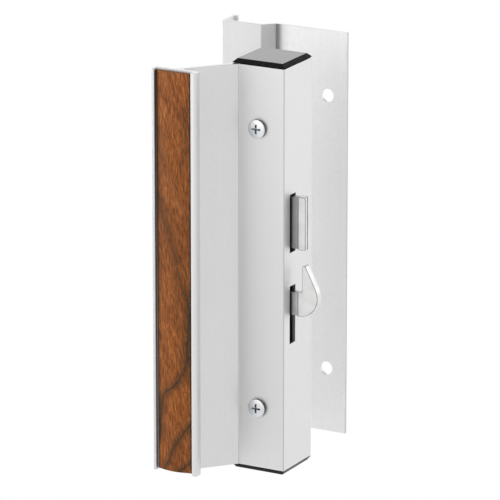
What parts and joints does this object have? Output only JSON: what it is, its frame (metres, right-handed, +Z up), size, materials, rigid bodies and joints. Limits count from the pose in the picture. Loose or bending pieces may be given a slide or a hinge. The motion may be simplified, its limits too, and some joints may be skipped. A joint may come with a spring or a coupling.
{
  "type": "sliding door handle set",
  "caption": "Square-tube sliding door handle with a swept grip, wood strip, thumb lever and hook latch, with its formed outside pull.",
  "frame": {"origin": "centre of the square tube's rear face, which sits on the door, at mid height", "axes": "+Z up along the tube, +Y into the door toward the outside pull, +X toward the door's closing edge, where the hook comes out"},
  "size_m": [0.0763, 0.0945, 0.184],
  "materials": {
    "satin_aluminium": "satin clear anodised extrusion",
    "pale_aluminium": "satin clear anodised sheet, a little paler",
    "oiled_wood": "stained straight-grained wood, satin",
    "black_moulding": "black moulded plastic, slight sheen",
    "zinc_plate": "bright zinc plate",
    "satin_plate": "satin plated steel",
    "frame_steel": "plain galvanised steel",
    "spring_steel": "drawn spring wire"
  },
  "bodies": {
    "housing": {"handle_extrusion": "satin_aluminium", "grip_insert": "oiled_wood", "top_end_cap": "black_moulding", "bottom_end_cap": "black_moulding", "upper_mounting_screw": "zinc_plate", "lower_mounting_screw": "zinc_plate", "outside_pull": "pale_aluminium", "latch_frame": "frame_steel", "lever_pivot_pin": "frame_steel", "hook_pivot_pin": "frame_steel", "lever_front_spacer": "zinc_plate", "lever_rear_spacer": "zinc_plate", "hook_front_spacer": "zinc_plate", "hook_rear_spacer": "zinc_plate", "return_spring": "spring_steel", "spring_anchor_pin": "frame_steel", "upper_frame_screw": "zinc_plate", "lower_frame_screw": "zinc_plate"},
    "thumb_lever": {"thumb_lever": "satin_plate", "lever_link_rivet": "frame_steel"},
    "latch_hook": {"latch_hook": "satin_plate", "hook_link_rivet": "frame_steel"},
    "link_bar": {"link_bar": "frame_steel"}
  },
  "joints": [
    {"name": "lever_press", "type": "hinge", "parent": "housing", "child": "thumb_lever", "pos_m": [0.008, -0.0174, 0.0293], "axis": [0, 1, 0], "range_deg": [0, 11], "stiffness_Nm_per_rad": 0.3, "springref_deg": -8.59},
    {"name": "hook_swing", "type": "hinge", "parent": "housing", "child": "latch_hook", "pos_m": [0.0062, -0.0174, -0.0152], "axis": [0, 1, 0], "range_deg": [0, 44]},
    {"name": "link_lift", "type": "slide", "parent": "housing", "child": "link_bar", "axis": [0, 0, 1], "range_m": [0, 0.0028], "deforming": ["return_spring"]}
  ],
  "couplings": [
    {"joint": "hook_swing", "follows": "lever_press", "ratio": 4},
    {"joint": "link_lift", "follows": "lever_press", "m_per_rad": 0.014474}
  ]
}
